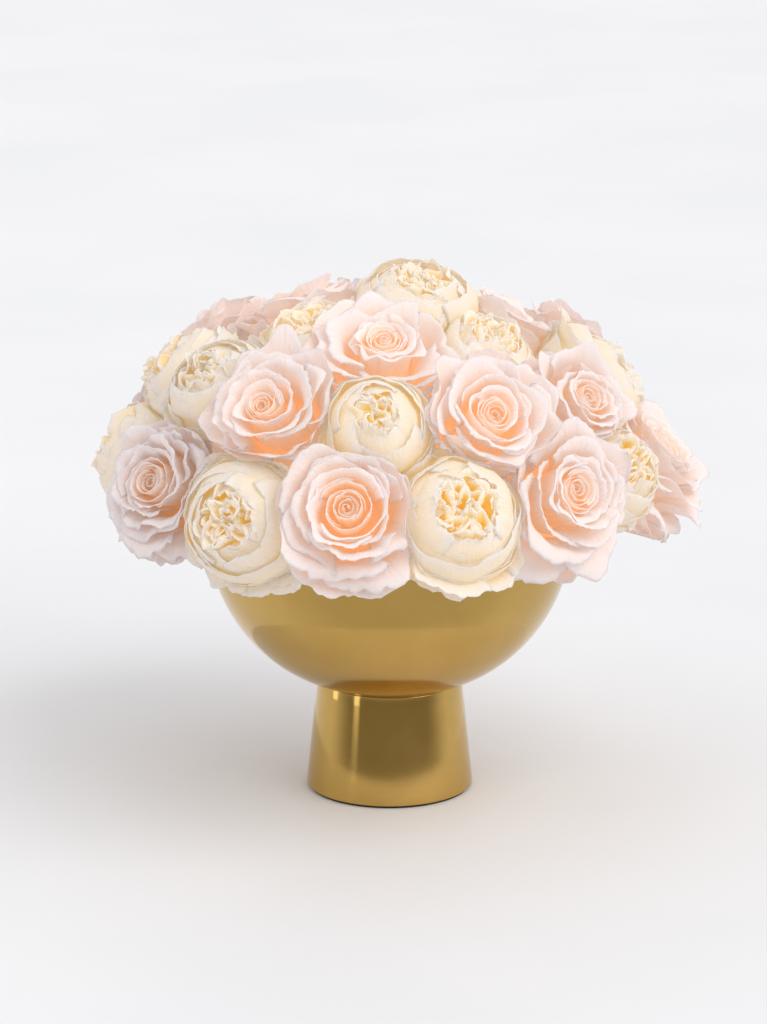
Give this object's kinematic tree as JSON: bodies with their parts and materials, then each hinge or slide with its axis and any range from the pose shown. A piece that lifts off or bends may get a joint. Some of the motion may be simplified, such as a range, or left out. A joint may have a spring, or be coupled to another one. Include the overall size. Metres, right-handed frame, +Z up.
{
  "type": "flower arrangement in a footed bowl",
  "caption": "Footed gold metal bowl with a dome of blush and cream preserved roses, set in foam so that the whole arrangement lifts out",
  "frame": {"origin": "centre of the base, on the surface that the bowl stands on", "axes": "+Z up along the axis of the bowl and foot, -Y to the front, +X to the right as seen from the front"},
  "size_m": [0.2874, 0.2847, 0.2651],
  "materials": {
    "gold_metal": "satin gold, finely brushed around the axis",
    "steel": "plain zinc plated",
    "rubber": "matte black",
    "felt": "dark brown felt",
    "liner_plastic": "translucent frosted plastic",
    "floral_foam": null,
    "stem": "dried green stem",
    "calyx": "soft dull green",
    "blush_petal": "soft satin petal, pale pink with peach in the folds",
    "cream_petal": "soft satin petal, creamy white with yellow in the heart"
  },
  "bodies": {
    "bowl": {"bowl": "gold_metal", "foot": "gold_metal", "foot_plate": "gold_metal", "bowl_screw": "steel", "seal_washer": "rubber", "lock_washer": "steel", "screw_nut": "steel", "base_pad": "felt"},
    "arrangement": {"liner": "liner_plastic", "foam": "floral_foam", "rose_stems": "stem", "rose_calyxes": "calyx", "cream_rose_01": "cream_petal", "blush_rose_02": "blush_petal", "cream_rose_03": "cream_petal", "blush_rose_04": "blush_petal", "cream_rose_05": "cream_petal", "blush_rose_06": "blush_petal", "cream_rose_07": "cream_petal", "blush_rose_08": "blush_petal", "cream_rose_09": "cream_petal", "blush_rose_10": "blush_petal", "cream_rose_11": "cream_petal", "blush_rose_12": "blush_petal", "cream_rose_13": "cream_petal", "blush_rose_14": "blush_petal", "cream_rose_15": "cream_petal", "blush_rose_16": "blush_petal", "cream_rose_17": "cream_petal", "blush_rose_18": "blush_petal", "blush_rose_19": "blush_petal", "cream_rose_20": "cream_petal", "blush_rose_21": "blush_petal", "cream_rose_22": "cream_petal", "blush_rose_23": "blush_petal", "cream_rose_24": "cream_petal", "blush_rose_25": "blush_petal", "cream_rose_26": "cream_petal", "blush_rose_27": "blush_petal", "cream_rose_28": "cream_petal", "blush_rose_29": "blush_petal", "cream_rose_30": "cream_petal", "blush_rose_31": "blush_petal", "cream_rose_32": "cream_petal", "cream_rose_33": "cream_petal"}
  },
  "joints": [
    {"name": "arrangement_lift", "type": "slide", "parent": "bowl", "child": "arrangement", "axis": [0, 0, 1], "range_m": [0, 0.12]}
  ]
}
